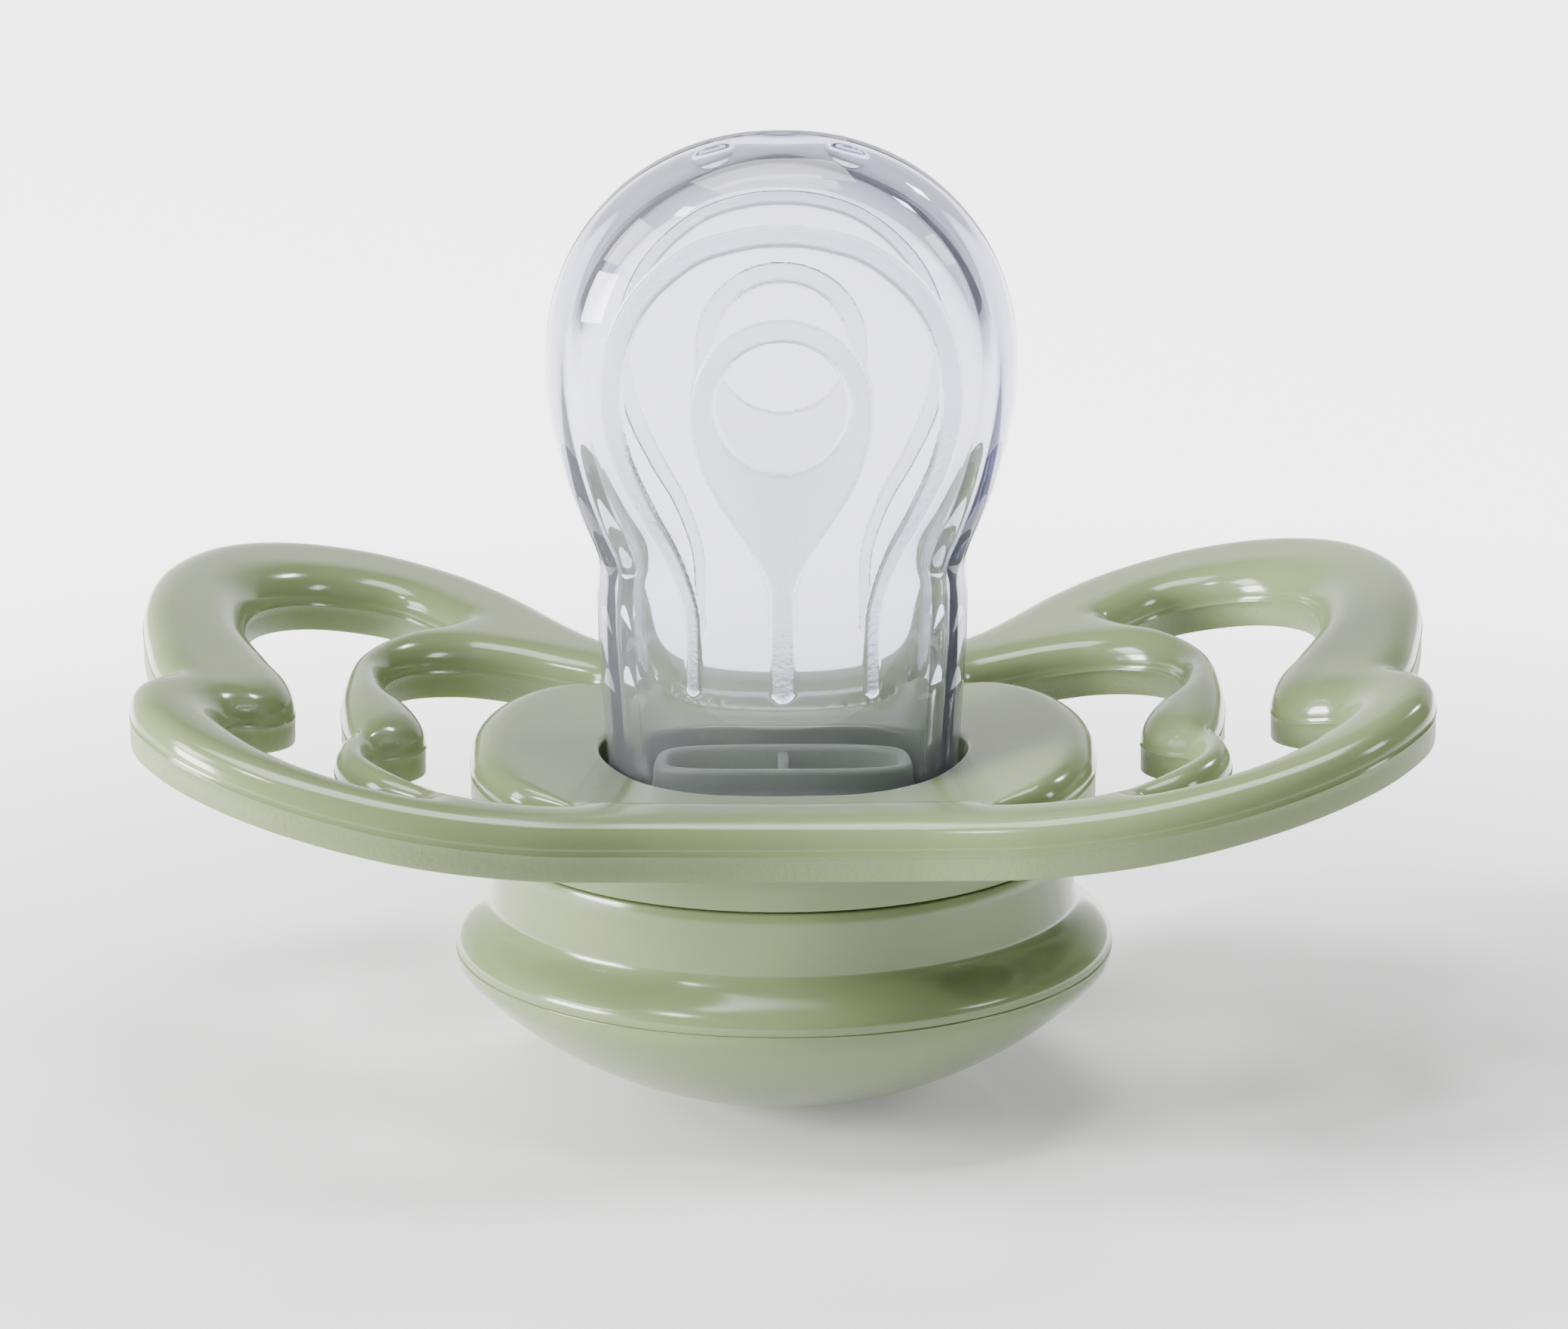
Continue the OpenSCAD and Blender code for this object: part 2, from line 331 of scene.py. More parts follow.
def triangulate(loops, extra, keep):
    """Triangles over the area that keep() accepts, with the loops' own points as borders."""
    points, edges, start = [], [], 0
    for loop in loops:
        n = len(loop)
        points.append(loop)
        edges += [(start + k, start + (k + 1) % n) for k in range(n)]
        start += n
    points = np.vstack(points + [extra])
    out = delaunay_2d_cdt([Vector(p) for p in points.tolist()], edges, [], 0, 1e-7)
    flat = np.array([tuple(v) for v in out[0]], float)
    tris = np.array(out[2])
    middle = flat[tris].mean(1)
    return flat, tris[keep(middle)]


def hexagonal(lo, hi, gap):
    """Points on a triangular grid between two corners."""
    rows = np.arange(lo[1], hi[1], gap * 0.866)
    cols = np.arange(lo[0], hi[0], gap)
    x, y = np.meshgrid(cols, rows)
    x = x + (np.arange(len(rows)) % 2)[:, None] * gap / 2
    return np.column_stack([x.ravel(), y.ravel()])


def inset_rings(curve, solid_outside, insets, borders):
    """Rings inside the solid at the given distances from curve, without the points that
    come nearer than that to any border."""
    n = curve.normal * (1 if solid_outside else -1)
    out = []
    for d in insets:
        ring = curve.points + n * d
        near = np.minimum.reduce([b.distance(ring)[0] for b in borders])
        out.append(ring[near > d * 0.985 - 1e-6])
    return np.vstack(out)


def in_solid(points, holes):
    """Whether each plan point lies inside the outline and outside every hole."""
    ok = OUTLINE.distance(points)[1]
    for h in holes:
        ok &= ~h.distance(points)[1]
    return ok


# ---------------------------------------------------------------- shield
GLOSSY, ETCHED = 0, 1     # the shield's two materials
CROWN_STEPS = 12
GRID = 0.42               # spacing of the points on the face, away from edges and creases
LOW_CORNER, HIGH_CORNER = (-28, -16), (28, 26)


def shield_top(build):
    """The face: rings of points near every edge, and a grid between them."""
    borders = [OUTLINE] + SLOTS
    angles = np.linspace(0, math.pi / 2, CROWN_STEPS + 1)[1:]
    insets = CROWN_W * 0.9 * (1 - np.cos(angles)) ** 1.15
    rings = [inset_rings(OUTLINE, False, insets, borders)]
    rings += [inset_rings(s, True, insets, borders) for s in SLOTS]
    lip_rings = [HOLE.points + HOLE.normal * d for d in (0.015, 0.05, 0.1, 0.16, 0.23, 0.4, 0.62)]
    grid = hexagonal(LOW_CORNER, HIGH_CORNER, GRID)
    fine = hexagonal((-DISC_R, -11.2), (DISC_R, 11.2), 0.16)
    crease = crease_distance(fine, OUTLINE.distance(fine)[0])
    fine = fine[np.abs(crease) < 0.5]
    inner = np.vstack([grid, fine])
    near = np.minimum.reduce([b.distance(inner)[0] for b in borders])
    lip = HOLE.distance(inner)[0]
    inner = inner[(near > CROWN_W * 0.85) & (lip > 0.7) & in_solid(inner, SLOTS + [HOLE])]
    extra = np.vstack(rings + lip_rings + [inner])
    extra = extra[in_solid(extra, SLOTS)]
    loops = [b.points for b in borders] + [HOLE.points]
    flat, tris = triangulate(loops, extra, lambda m: in_solid(m, SLOTS + [HOLE]))
    build.add(bent(flat, top_height(flat)), tris, GLOSSY)


BOTTOM_ROUND = 0.09       # rounding of the lower edges
FLASH = 0.035             # the moulding line stands this proud of the wall


def shield_walls(build):
    """The straight wall under the moulding line, all round the outline and the slots."""
    for curve, solid_outside in [(OUTLINE, False)] + [(s, True) for s in SLOTS]:
        n = curve.normal * (-1 if solid_outside else 1)
        profile = [(0.0, 0.0), (FLASH, -0.02), (FLASH, -0.06), (0.0, -0.1),
                   (0.0, -0.35), (0.0, -0.7), (0.0, -LOW + BOTTOM_ROUND)]
        for k in range(1, 5):
            a = k * math.pi / 8
            profile.append((-BOTTOM_ROUND * (1 - math.cos(a)),
                            -LOW + BOTTOM_ROUND * (1 - math.sin(a))))
        rings = [bent(curve.points + n * out, np.full(len(n), w)) for out, w in profile]
        build.strip(rings[:3], GLOSSY)
        build.strip(rings[2:], ETCHED)


COLLAR_FILLET = 0.02      # between the underside and the collar


def shield_bottom(build):
    """The bent underside, between the edges' rounding and the collar."""
    borders = []
    for curve, solid_outside in [(OUTLINE, False)] + [(s, True) for s in SLOTS]:
        n = curve.normal * (-1 if solid_outside else 1)
        borders.append(Line(curve.points - n * BOTTOM_ROUND))
    foot = Line(circle(DRUM_R + COLLAR_FILLET))
    grid = hexagonal(LOW_CORNER, HIGH_CORNER, 0.8)
    near = np.minimum.reduce([b.distance(grid)[0] for b in borders + [foot]])
    grid = grid[near > 0.35]

    def keep(m):
        ok = borders[0].distance(m)[1] & ~foot.distance(m)[1]
        for b in borders[1:]:
            ok &= ~b.distance(m)[1]
        return ok

    loops = [b.points for b in borders + [foot]]
    flat, tris = triangulate(loops, grid[keep(grid)], keep)
    build.add(bent(flat, np.full(len(flat), -LOW)), tris[:, ::-1], ETCHED)


def shield_collar(build):
    """From the underside down the collar, in under it, and up through the nipple hole."""
    foot = circle(DRUM_R + COLLAR_FILLET)
    unit = foot / np.linalg.norm(foot, axis=1)[:, None]
    start = bent(foot, np.full(len(foot), -LOW))
    rings = [start]
    for k in range(1, 6):
        a = k * math.pi / 10
        r = DRUM_R + COLLAR_FILLET * (1 - math.sin(a))
        rings.append(np.column_stack([unit * r * MM,
                                      start[:, 2] - COLLAR_FILLET * (1 - math.cos(a)) * MM]))
    for r, z in [(DRUM_R, SEAM_Z + 0.5), (DRUM_R, SEAM_Z + 0.12), (DRUM_R - 0.03, SEAM_Z + 0.07),
                 (DRUM_R - 0.1, SEAM_Z + 0.045), (SPIGOT_R, SEAM_Z + 0.045),
                 (SPIGOT_R, SPIGOT_LOW), (FOOT_R + GAP, SPIGOT_LOW), (FOOT_R + GAP, FOOT_TOP)]:
        rings.append(np.column_stack([unit * r, np.full(len(foot), z)]) * MM)
    build.strip(rings, GLOSSY)
    ceiling = Line(unit * (FOOT_R + GAP))
    flat, tris = triangulate([ceiling.points, HOLE.points], np.zeros((0, 2)),
                             lambda m: ceiling.distance(m)[1] & ~HOLE.distance(m)[1])
    build.add(np.column_stack([flat, np.full(len(flat), FOOT_TOP)]) * MM, tris[:, ::-1], GLOSSY)
    top = bent(HOLE.points, top_height(HOLE.points))
    low = np.column_stack([HOLE.points, np.full(len(top), FOOT_TOP)]) * MM
    build.strip([low + (top - low) * t for t in (0, 0.5, 1)], GLOSSY)


def make_shield(materials):
    build = Build()
    shield_top(build)
    shield_walls(build)
    shield_bottom(build)
    shield_collar(build)
    return build.make("shield_moulding", materials)


# ---------------------------------------------------------------- turned pieces
TURN_STEPS = 256


def round_ring(r, z, steps):
    """Points in metres round the axis, at radius r and height z."""
    t = np.linspace(0, 2 * math.pi, steps, endpoint=False)
    return np.column_stack([r * np.cos(t), r * np.sin(t), np.full(steps, z)]) * MM


def lathe(build, profile):
    """A surface turned from (radius, height) pairs."""
    build.strip([round_ring(r, z, TURN_STEPS) for r, z in profile])


def make_knob_body(materials):
    """Drum and skirt, with the shelf and the bores inside."""
    flare_w, flare_h = RIM_R - DRUM_R, 1.9
    flare = [(DRUM_R + flare_w * (1 + math.cos(math.pi * t)) / 2, RIM_Z + 0.25 + flare_h * t)
             for t in np.linspace(0, 1, 25)]
    low = RIM_Z + 0.004
    profile = [(CAP_SPIGOT_R, low), (RIM_R - 0.03, low), (RIM_R, RIM_Z + 0.03)]
    profile += flare[1:]
    profile += [(DRUM_R, 8.8), (DRUM_R, 9.6), (DRUM_R, 10.4), (DRUM_R, SEAM_Z - 0.1),
                (DRUM_R - 0.03, SEAM_Z - 0.05), (DRUM_R - 0.1, SEAM_Z - 0.02),
                (SPIGOT_R + GAP, SEAM_Z - 0.02), (SPIGOT_R + GAP, SPIGOT_LOW - GAP),
                (FOOT_R + 2 * GAP, SPIGOT_LOW - GAP), (FOOT_R + 2 * GAP, PLUG_LOW),
                (SHELF_BORE_R, PLUG_LOW), (SHELF_BORE_R, CAP_SPIGOT_TOP + 2 * GAP),
                (CAP_SPIGOT_R + 2 * GAP, CAP_SPIGOT_TOP + 2 * GAP), (CAP_SPIGOT_R, low)]
    build = Build()
    lathe(build, profile)
    return build.make("knob_drum_and_skirt", materials)


def make_knob_cap(materials):
    """The dome, its turned-up rim, its spigot and the hollow inside."""
    edge, cap_wall = 44.5, 1.5
    dome = [(DOME_R * math.sin(a), DOME_R * (1 - math.cos(a)))
            for a in np.radians(np.linspace(0.4, edge, 60))]
    r0, z0 = dome[-1]
    # the dome turns up into the rim along its own tangent
    bend = (RIM_R, z0 + (RIM_R - r0) * math.tan(math.radians(edge)))
    turn = [((1 - t)**2 * r0 + 2 * t * (1 - t) * bend[0] + t * t * RIM_R,
             (1 - t)**2 * z0 + 2 * t * (1 - t) * bend[1] + t * t * (RIM_Z - 0.1))
            for t in np.linspace(0.08, 1, 14)]
    inner_r, bore_r = DOME_R - cap_wall, CAP_SPIGOT_R - cap_wall
    hollow = [(inner_r * math.sin(a), DOME_R - inner_r * math.cos(a))
              for a in np.radians(np.linspace(30, 0.4, 20))]
    profile = dome + turn
    profile += [(RIM_R + 0.03, RIM_Z - 0.07), (RIM_R + 0.03, RIM_Z - 0.03),
                (RIM_R - 0.01, RIM_Z - 0.003), (CAP_SPIGOT_R - GAP, RIM_Z - 0.003),
                (CAP_SPIGOT_R - GAP, CAP_SPIGOT_TOP), (bore_r, CAP_SPIGOT_TOP), (bore_r, 5.2)]
    profile += hollow
    build = Build()
    lathe(build, profile)
    for (r, z), tip, up in ((profile[0], 0.0, False), (profile[-1], cap_wall, True)):
        build.fan(round_ring(r, z, TURN_STEPS), (0, 0, tip * MM), up)
    return build.make("knob_dome_cap", materials)


def make_plug(materials):
    """Flange, flared stadium tube and its cross web, all one moulding."""
    build = Build()
    foot_z, well_z = 7.82, 9.0
    # half width, half depth, height, and the power of the oval: 2 is round, more is squarer
    outer = [(8.5, 8.5, foot_z, 2.0), (8.5, 8.5, 9.4, 2.0), (10.28, 10.28, 9.42, 2.0),
             (10.28, 10.28, 10.68, 2.0), (5.7, 3.6, 10.7, 2.3), (5.7, 3.2, 10.9, 2.4)]
    outer += [(5.6, 3.0, 12.2, 2.8), (5.6, 2.75, 12.9, 3.0), (5.5, 2.2, 13.4, 3.4),
              (5.42, 2.1, 13.7, 3.6), (5.4, 2.1, 14.2, 3.6), (5.36, 2.06, 14.34, 3.6),
              (5.28, 1.98, 14.4, 3.6)]
    inner = [(4.98, 1.68, 14.4, 3.6), (4.9, 1.6, 14.34, 3.6), (4.86, 1.56, 14.2, 3.6),
             (4.8, 1.5, 11.0, 3.6), (4.75, 1.45, well_z, 3.6)]
    rings = [oval(a, b, z, n, 160) for a, b, z, n in outer + inner]
    build.strip(rings)
    build.fan(rings[-1], (0, 0, well_z * MM), True)
    build.fan(rings[0], (0, 0, foot_z * MM), False)
    build.add(*rounded_box(0.46, 3.3, 9.5, 14.2, 0.1))
    return build.make("nipple_retainer_plug", materials)


def rounded_box(t, d, z0, z1, r):
    """A thin upright web, t thick in X and d deep in Y, with its top edges rounded."""
    xs = [-t / 2, -t / 2 + r * 0.3, -t / 2 + r, t / 2 - r, t / 2 - r * 0.3, t / 2]
    top = [z1 - r, z1 - r * 0.3, z1, z1, z1 - r * 0.3, z1 - r]
    section = [(xs[0], z0)] + list(zip(xs, top)) + [(xs[-1], z0)]
    n = len(section)
    pts = [(x, y, z) for y in (-d / 2, d / 2) for x, z in section]
    faces = [(k, (k + 1) % n, n + (k + 1) % n, n + k) for k in range(n)]
    faces += [tuple(range(n - 1, -1, -1)), tuple(range(n, 2 * n))]
    return np.array(pts) * MM, faces


# ---------------------------------------------------------------- nipple
WALL = 1.4
BULB_HALF, BULB_DEEP = 9.66, 5.55
TIP_POWER_X, TIP_POWER_Y = 2.2, 3.0       # roundness of the tip from the front and the side
# height, half width, half depth of the nipple's outside
NIPPLE_LEVELS = [(8, 7.25, 5.3), (12.0, 7.25, 5.3), (14.6, 7.27, 5.3), (17.5, 7.45, 5.33),
                 (19.5, 7.58, 5.35), (21.5, 7.61, 5.35), (22.4, 7.55, 5.35), (23.0, 7.57, 5.36),
                 (23.7, 7.8, 5.38), (24.5, 8.15, 5.41), (25.5, 8.56, 5.45), (26.6, 8.93, 5.49),
                 (28.3, 9.36, 5.53), (29.8, 9.59, 5.55), (31.2, 9.66, 5.55), (34, 9.66, 5.55)]


def oval(a, b, z, n, sides):
    """A ring at height z, in metres: a superellipse of half width a, half depth b, power n."""
    t = np.linspace(0, 2 * math.pi, sides, endpoint=False)
    c, s = np.cos(t), np.sin(t)
    x = a * np.sign(c) * np.abs(c) ** (2 / n)
    y = b * np.sign(s) * np.abs(s) ** (2 / n)
    return np.column_stack([x, y, np.full(sides, z)]) * MM


def nipple_table():
    """The levels joined by a smooth curve, then averaged over a third of a millimetre."""
    levels = np.array(NIPPLE_LEVELS)
    z = np.arange(9, 33, 0.04)
    weight = np.exp(-np.linspace(-2.5, 2.5, 41) ** 2 / 2)
    columns = [z]
    for k in (1, 2):
        curve = smooth_curve(levels[:, [0, k]], False, 16)
        half = np.interp(z, curve[:, 0], curve[:, 1])
        padded = np.pad(half, 20, mode="edge")
        columns.append(np.convolve(padded, weight / weight.sum(), "valid"))
    return columns


def nipple_half(z):
    """Half width and half depth of the outside at height z, up to the tip."""
    a = np.interp(z, NIPPLE[0], NIPPLE[1])
    b = np.interp(z, NIPPLE[0], NIPPLE[2])
    t = np.clip((z - BULB_Z) / (NIPPLE_TOP - BULB_Z), 0, 1)
    a = np.where(z > BULB_Z, BULB_HALF * (1 - t**TIP_POWER_X) ** 0.5, a)
    b = np.where(z > BULB_Z, BULB_DEEP * (1 - t**TIP_POWER_Y) ** 0.5, b)
    return a, b


NIPPLE = nipple_table()
SIDES = 560               # points round the nipple
POWER = 2.5               # of its oval section
BAND_RAISE = 0.12         # the frosted bands stand this proud
MOULD_LINE = 0.03         # and so much the line down each side
DIMPLE_X, DIMPLE_Y, DIMPLE_R, DIMPLE_DEPTH, DIMPLE_FROM = 2.76, -1.5, 0.88, 0.2, 38
BAND_FOOT = 18.6          # height of the bands' lower ends
RING_Z, RING_R, RING_BORE = 30.6, 3.65, 2.8
# half width and height along the middle stem, from its foot up to the ring
STEM = smooth_curve([(0.42, BAND_FOOT), (0.42, 21.7), (0.5, 23), (0.88, 23.95), (1.43, 24.9),
                     (2.08, 25.9), (2.73, 26.95), (3.2, 27.95), (3.54, 29.3),
                     (RING_R, RING_Z)], False, 8)


def band_distance(x, z):
    """Distance inside the frosted bands drawn on the front and back faces, over 0 inside."""
    # outer loop: two legs that bow out and close over the bulb
    leg = [(3.65, BAND_FOOT), (3.65, 20.5), (3.8, 22.2), (4.5, 24.2), (5.5, 26), (6.5, 28.2),
           (6.95, 30.6), (6.6, 33.2), (5.5, 35.2), (3.6, 36.8), (1.6, 37.45), (0, 37.6)]
    loop = Line(smooth_curve(leg + mirror(leg[:-1]), False, 16), False)
    out = 0.27 + 0.13 * ease((z - 22) / 8) - loop.distance(np.column_stack([x, z]))[0]
    # middle stem, which opens into a ring
    half = np.interp(z, STEM[:, 1], STEM[:, 0])
    stem = np.where((z > BAND_FOOT) & (z < RING_Z), half - np.abs(x), -1)
    end = STEM[0, 0] - np.hypot(x, z - BAND_FOOT)
    r = np.hypot(x, z - RING_Z)
    whole = np.maximum(stem, RING_R - r)
    return np.maximum(out, np.maximum(end, np.minimum(whole, r - RING_BORE)))


def nipple_ring(z, inset=0.0, size_z=None):
    """The nipple's section at height z, drawn in by inset; size_z is where its size is read."""
    a, b = nipple_half(z if size_z is None else size_z)
    return oval(float(a) - inset, float(b) - inset, z, POWER, SIDES)


def nipple_foot():
    """Rings of the round foot, from its underside to its top face."""
    profile = [(FOOT_R - 0.05, FOOT_BOTTOM + 0.02), (FOOT_R - 0.02, FOOT_BOTTOM + 0.1),
               (FOOT_R - 0.02, FOOT_TOP - 0.3), (FOOT_R - 0.2, FOOT_TOP - 0.06),
               (FOOT_R - 0.5, FOOT_TOP - 0.02), (8.2, FOOT_TOP - 0.02)]
    return [round_ring(r, z, SIDES) for r, z in profile]


def dimple_depth(x, y, z):
    """How deep the two dimples in the tip are at each point."""
    depth = np.zeros(len(x))
    for side in (-DIMPLE_X, DIMPLE_X):
        q = np.hypot(x - side, y - DIMPLE_Y) / DIMPLE_R
        depth += np.where((z > DIMPLE_FROM) & (q < 1), DIMPLE_DEPTH * (1 - q**2), 0)
    return depth


def nipple_outside():
    """Rings of the outside over the foot, with raised bands and mould line, and dimples."""
    low = np.arange(FOOT_TOP - 0.02, BULB_Z, 0.13)
    turn = np.linspace(0, 1, 150)[1:-1]
    high = BULB_Z + (NIPPLE_TOP - BULB_Z) * np.sin(turn * math.pi / 2)
    high = high[high < NIPPLE_TOP - 0.0006]
    grid = np.array([nipple_ring(z) for z in np.r_[low, high]])
    along = np.roll(grid, -1, 1) - np.roll(grid, 1, 1)
    normal = np.cross(along, np.gradient(grid, axis=0))
    normal /= np.linalg.norm(normal, axis=2)[..., None] + 1e-12
    x, y, z = (grid / MM).reshape(-1, 3).T
    relief = BAND_RAISE * ease((band_distance(x, z) + 0.04) / 0.12)
    relief += np.where(np.abs(y) < 0.05, MOULD_LINE, 0) - dimple_depth(x, y, z)
    return list(grid + normal * relief.reshape(grid.shape[:2])[..., None] * MM)


def nipple_cavity():
    """Rings of the cavity, from its mouth under the foot up to its tip."""
    rings = [nipple_ring(z, WALL, max(z, 14.0))
             for z in np.arange(FOOT_BOTTOM + 0.02, BULB_Z, 0.3)]
    for turn in np.linspace(0, 1, 50)[1:-1]:
        t = math.sin(turn * math.pi / 2)
        a = (BULB_HALF - WALL) * (1 - t**TIP_POWER_X) ** 0.5
        b = (BULB_DEEP - WALL) * (1 - t**TIP_POWER_Y) ** 0.5
        rings.append(oval(a, b, BULB_Z + (NIPPLE_TOP - WALL - BULB_Z) * t, POWER, SIDES))
    return rings


def mark_frosted(mesh):
    """Stores how frosted each point is: 1 on the outside's bands, 0 elsewhere."""
    co = np.zeros(len(mesh.vertices) * 3)
    mesh.vertices.foreach_get("co", co)
    x, y, z = co.reshape(-1, 3).T / MM
    a, b = nipple_half(np.clip(z, 12, NIPPLE_TOP - 1e-4))
    level = (np.abs(x) / (a + 1e-9)) ** POWER + (np.abs(y) / (b + 1e-9)) ** POWER
    frosted = np.where(level > 0.9, ease((band_distance(x, z) + 0.02) / 0.06), 0)
    layer = mesh.attributes.new("frosted", "FLOAT", "POINT")
    layer.data.foreach_set("value", frosted.astype(np.float32))


def make_nipple(materials):
    """Foot, outside and cavity as one closed wall."""
    foot, outside, cavity = nipple_foot(), nipple_outside(), nipple_cavity()
    build = Build()
    build.strip(foot + outside)
    build.fan(outside[-1], (0, 0, NIPPLE_TOP * MM), True)
    build.strip([foot[0]] + cavity)
    build.fan(cavity[-1], (0, 0, (NIPPLE_TOP - WALL) * MM), False)
    obj = build.make("silicone_nipple", materials)
    mark_frosted(obj.data)
    return obj


# ---------------------------------------------------------------- materials
def new_material(name):
    """A node material, its nodes and links, and its Principled BSDF."""
    m = bpy.data.materials.new(name)
    m.use_nodes = True
    nodes, links = m.node_tree.nodes, m.node_tree.links
    return m, nodes, links, nodes["Principled BSDF"]


def add(nodes, kind, **values):
    """A new node with its input values or its settings."""
    n = nodes.new(kind)
    for key, value in values.items():
        if key in n.inputs:
            n.inputs[key].default_value = value
        else:
            setattr(n, key, value)
    return n


SAGE, SAGE_DEEP = (0.18, 0.222, 0.106, 1), (0.162, 0.202, 0.094, 1)
PLUG_TONE, PLUG_DEEP = (0.27, 0.32, 0.23, 1), (0.24, 0.28, 0.2, 1)
CLEAR, CLEAR_DEEP = (0.97, 0.97, 1.0, 1), (0.95, 0.95, 0.99, 1)
FROSTED = (0.74, 0.74, 0.78, 1)
LAVENDER = (0.76, 0.76, 0.9, 1)


def plastic(name, roughness, grain, grain_size, coat, light=SAGE, deep=SAGE_DEEP):
    """Moulded plastic: faint mottling in the colour, fine waviness, and a grain."""
    m, nodes, links, shader = new_material(name)
    where = add(nodes, "ShaderNodeTexCoord")
    mottle = add(nodes, "ShaderNodeTexNoise", Scale=160.0, Detail=4.0)
    links.new(where.outputs["Object"], mottle.inputs["Vector"])
    tone = add(nodes, "ShaderNodeMix", data_type="RGBA")
    tone.inputs["A"].default_value = deep
    tone.inputs["B"].default_value = light
    links.new(mottle.outputs["Fac"], tone.inputs["Factor"])
    links.new(tone.outputs[2], shader.inputs["Base Color"])
    fine = add(nodes, "ShaderNodeTexNoise", Scale=grain_size, Detail=5.0, Roughness=0.6)
    links.new(where.outputs["Object"], fine.inputs["Vector"])
    rough = add(nodes, "ShaderNodeMapRange")
    rough.inputs["To Min"].default_value = roughness * 0.8
    rough.inputs["To Max"].default_value = roughness * 1.25
    links.new(fine.outputs["Fac"], rough.inputs["Value"])
    links.new(rough.outputs["Result"], shader.inputs["Roughness"])
    bump = add(nodes, "ShaderNodeBump", Strength=grain, Distance=0.0001)
    links.new(fine.outputs["Fac"], bump.inputs["Height"])
    links.new(bump.outputs["Normal"], shader.inputs["Normal"])
    shader.inputs["IOR"].default_value = 1.49
    shader.inputs["Subsurface Weight"].default_value = 0.12
    shader.inputs["Subsurface Radius"].default_value = (0.9, 1.0, 0.6)
    shader.inputs["Subsurface Scale"].default_value = 0.0012
    shader.inputs["Coat Weight"].default_value = coat
    shader.inputs["Coat Roughness"].default_value = 0.05
    return m


def silicone():
    """Clear silicone, frosted where the stored point value says so."""
    m, nodes, links, shader = new_material("clear_silicone")
    where = add(nodes, "ShaderNodeTexCoord")
    frost = add(nodes, "ShaderNodeAttribute", attribute_name="frosted")
    haze = add(nodes, "ShaderNodeTexNoise", Scale=90.0, Detail=3.0)
    links.new(where.outputs["Object"], haze.inputs["Vector"])
    tint = add(nodes, "ShaderNodeMix", data_type="RGBA")
    tint.inputs["A"].default_value = CLEAR_DEEP
    tint.inputs["B"].default_value = CLEAR
    links.new(haze.outputs["Fac"], tint.inputs["Factor"])
    milky = add(nodes, "ShaderNodeMix", data_type="RGBA")
    milky.inputs["B"].default_value = FROSTED
    links.new(frost.outputs["Fac"], milky.inputs["Factor"])
    links.new(tint.outputs[2], milky.inputs["A"])
    links.new(milky.outputs[2], shader.inputs["Base Color"])
    rough = add(nodes, "ShaderNodeMapRange")
    rough.inputs["To Min"].default_value = 0.02
    rough.inputs["To Max"].default_value = 0.45
    links.new(frost.outputs["Fac"], rough.inputs["Value"])
    links.new(rough.outputs["Result"], shader.inputs["Roughness"])
    grain = add(nodes, "ShaderNodeTexNoise", Scale=5200.0, Detail=2.0)
    links.new(where.outputs["Object"], grain.inputs["Vector"])
    height = add(nodes, "ShaderNodeMath", operation="MULTIPLY")
    links.new(grain.outputs["Fac"], height.inputs[0])
    links.new(frost.outputs["Fac"], height.inputs[1])
    bump = add(nodes, "ShaderNodeBump", Strength=0.5, Distance=0.00008)
    links.new(height.outputs[0], bump.inputs["Height"])
    links.new(bump.outputs["Normal"], shader.inputs["Normal"])
    shader.inputs["Transmission Weight"].default_value = 0.95
    shader.inputs["IOR"].default_value = 1.41
    # the longer light runs through the wall, the more lavender it leaves
    body = add(nodes, "ShaderNodeVolumeAbsorption", Density=330.0)
    body.inputs["Color"].default_value = LAVENDER
    links.new(body.outputs["Volume"], nodes["Material Output"].inputs["Volume"])
    return m


# ---------------------------------------------------------------- stage, lights, camera
def glowing(name, grey):
    """A matt material that also glows white, by as much as its nodes say."""
    m, nodes, links, shader = new_material(name)
    shader.inputs["Base Color"].default_value = (grey, grey, grey, 1)
    shader.inputs["Roughness"].default_value = 0.8
    shader.inputs["Emission Color"].default_value = (1, 1, 1, 1)
    return m, nodes, links, shader


def ramp(nodes, links, source, span, out):
    """A smooth step from out[0] to out[1] while source runs over span."""
    step = add(nodes, "ShaderNodeMapRange", interpolation_type="SMOOTHSTEP")
    for name, value in zip(("From Min", "From Max", "To Min", "To Max"), span + out):
        step.inputs[name].default_value = value
    links.new(source, step.inputs["Value"])
    return step.outputs["Result"]


def floor_material():
    """The floor's glow dips under the object as a painted soft shadow, and fades towards the
    front and out to the sides as painted fall-off of light.
    """
    m, nodes, links, shader = glowing("pale_floor", 0.75)
    where = add(nodes, "ShaderNodeTexCoord")
    reach = add(nodes, "ShaderNodeVectorMath", operation="LENGTH")
    links.new(where.outputs["Object"], reach.inputs[0])
    split = add(nodes, "ShaderNodeSeparateXYZ")
    links.new(where.outputs["Object"], split.inputs[0])
    away = add(nodes, "ShaderNodeMath", operation="ABSOLUTE")
    links.new(split.outputs["X"], away.inputs[0])
    # the glow's dip under the object is a painted soft shadow
    glow = ramp(nodes, links, reach.outputs["Value"], (0.025, 0.1), (0.1, 1.0))
    # painted fall-off of light towards the front and out to the sides
    front_fall = ramp(nodes, links, split.outputs["Y"], (-0.12, 0.05), (0.7, 2.8))
    side_fall = ramp(nodes, links, away.outputs[0], (0.06, 0.2), (1.0, 0.25))
    for factor in (front_fall, side_fall):
        product = add(nodes, "ShaderNodeMath", operation="MULTIPLY")
        links.new(glow, product.inputs[0])
        links.new(factor, product.inputs[1])
        glow = product.outputs[0]
    links.new(glow, shader.inputs["Emission Strength"])
    return m


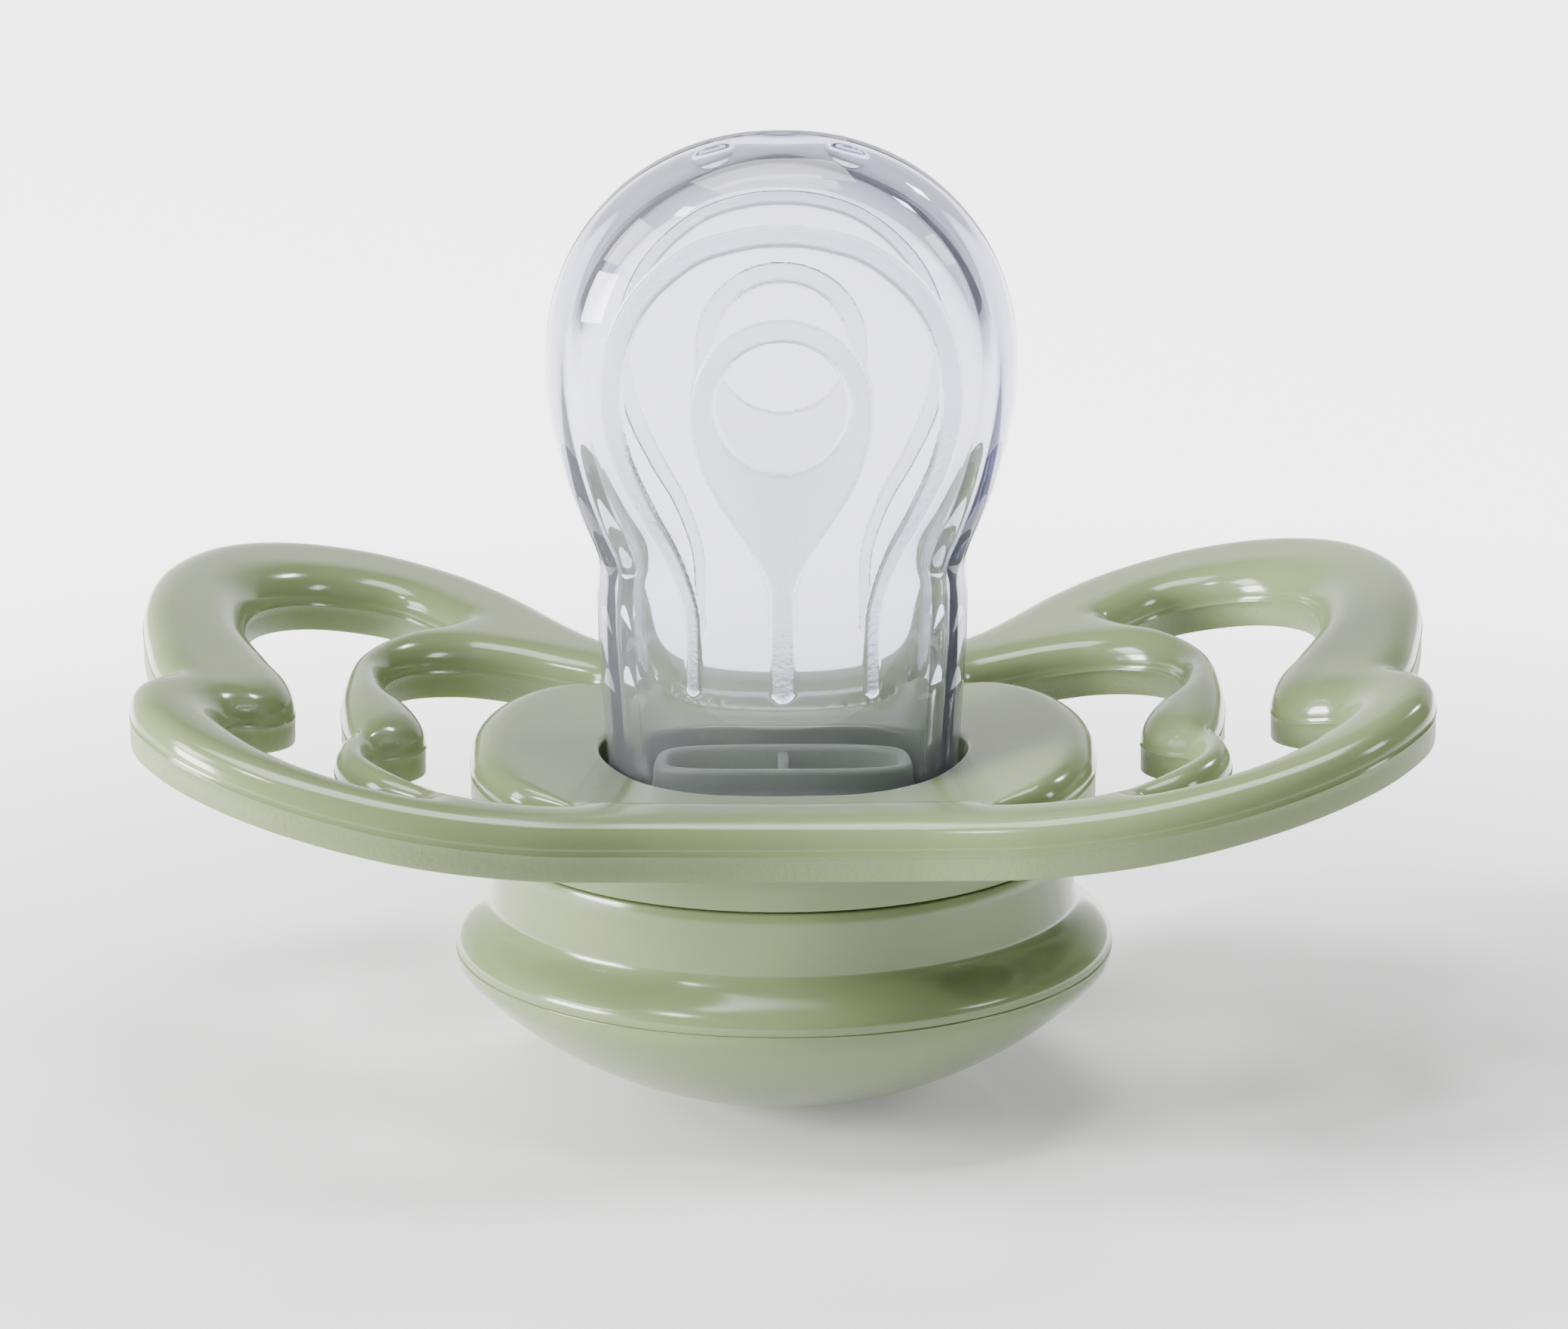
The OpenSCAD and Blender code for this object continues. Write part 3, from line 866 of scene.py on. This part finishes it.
def card_material():
    """The card's glow fades towards its top."""
    m, nodes, links, shader = glowing("white_card", 0.5)
    where = add(nodes, "ShaderNodeTexCoord")
    split = add(nodes, "ShaderNodeSeparateXYZ")
    links.new(where.outputs["Object"], split.inputs[0])
    fade = ramp(nodes, links, split.outputs["Z"], (0.03, 0.38), (0.75, 0.04))
    links.new(fade, shader.inputs["Emission Strength"])
    return m


def stage_plane(name, corners, material):
    mesh = bpy.data.meshes.new(name)
    mesh.from_pydata(corners, [], [(0, 1, 2, 3)])
    mesh.materials.append(material)
    obj = bpy.data.objects.new(name, mesh)
    bpy.context.scene.collection.objects.link(obj)


def make_stage():
    """A pale floor that glows a little, as a light table does, and a white card far behind that
    glows as painted light, seen in the reflections.
    """
    stage_plane("floor", [(-3, -3, 0), (3, -3, 0), (3, 3, 0), (-3, 3, 0)], floor_material())
    # the card's glow is painted light for the glossy reflections
    stage_plane("card", [(-0.7, 0.75, 0.0), (0.7, 0.75, 0.0), (0.7, 0.8, 0.45),
                         (-0.7, 0.8, 0.45)], card_material())


# name, place, width and height, watts
LIGHTS = [("left_softbox", (-0.46, -0.11, 0.11), (0.2, 0.16), 6.8),
          ("left_high_softbox", (-0.4, -0.06, 0.3), (0.18, 0.18), 2.4),
          ("right_softbox", (0.4, -0.08, 0.26), (0.1, 0.12), 0.6),
          ("top_softbox", (-0.02, 0.06, 0.5), (0.34, 0.2), 2.6),
          ("left_spark", (-0.2, -0.14, 0.38), (0.05, 0.05), 0.5),
          ("right_spark", (0.26, 0.28, 0.3), (0.05, 0.05), 0.5)]
LIT_POINT = Vector((0, 0, 0.012))


def area_light(name, place, size, watts):
    """A soft white rectangle of light, turned to the object."""
    data = bpy.data.lights.new(name, "AREA")
    data.shape = "RECTANGLE"
    data.size, data.size_y = size
    data.energy = watts
    obj = bpy.data.objects.new(name, data)
    obj.location = place
    obj.rotation_euler = (LIT_POINT - Vector(place)).to_track_quat("-Z", "Y").to_euler()
    bpy.context.scene.collection.objects.link(obj)


def make_lights():
    world = bpy.data.worlds.new("studio")
    world.use_nodes = True
    background = world.node_tree.nodes["Background"]
    background.inputs["Color"].default_value = (0.9, 0.93, 0.95, 1)
    background.inputs["Strength"].default_value = 0.05
    bpy.context.scene.world = world
    for light in LIGHTS:
        area_light(*light)


def make_camera():
    """A long lens from the mouth side, a little above the object."""
    lift, away = math.radians(15.66), 0.45
    picture_width, pixels_per_mm = 2082, 32.1
    data = bpy.data.cameras.new("camera")
    obj = bpy.data.objects.new("camera", data)
    target = Vector((0.00005, 0, (SHIELD_Z + 4.52) * MM))
    obj.location = target + Vector((0, -math.cos(lift), math.sin(lift))) * away
    obj.rotation_euler = (math.pi / 2 - lift, 0, 0)
    obj.rotation_euler.rotate_axis("Z", math.radians(-0.25))
    data.sensor_width = 36.0
    data.lens = data.sensor_width * (pixels_per_mm * away / MM) / picture_width
    data.clip_start = 0.01
    bpy.context.scene.collection.objects.link(obj)
    bpy.context.scene.camera = obj


# ---------------------------------------------------------------- put together
gloss = plastic("sage_gloss_plastic", 0.15, 0.02, 900.0, 0.1)
matte = plastic("sage_etched_plastic", 0.42, 0.35, 3800.0, 0.0)
drum = plastic("sage_satin_plastic", 0.17, 0.04, 1400.0, 0.1)
inside = plastic("plug_plastic", 0.35, 0.08, 2000.0, 0.0, PLUG_TONE, PLUG_DEEP)
clear = silicone()

pieces = [
    (make_shield([gloss, matte]), "shield", "shield_plastic"),
    (make_nipple([clear]), "nipple", "nipple_silicone"),
    (make_plug([inside]), "inner_plug", "plug_plastic"),
    (make_knob_body([drum]), "knob_body", "knob_plastic"),
    (make_knob_cap([drum]), "knob_cap", "cap_plastic"),
]
for piece, node, slot in pieces:
    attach(piece, "root")
    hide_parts(node)

make_stage()
make_lights()
make_camera()
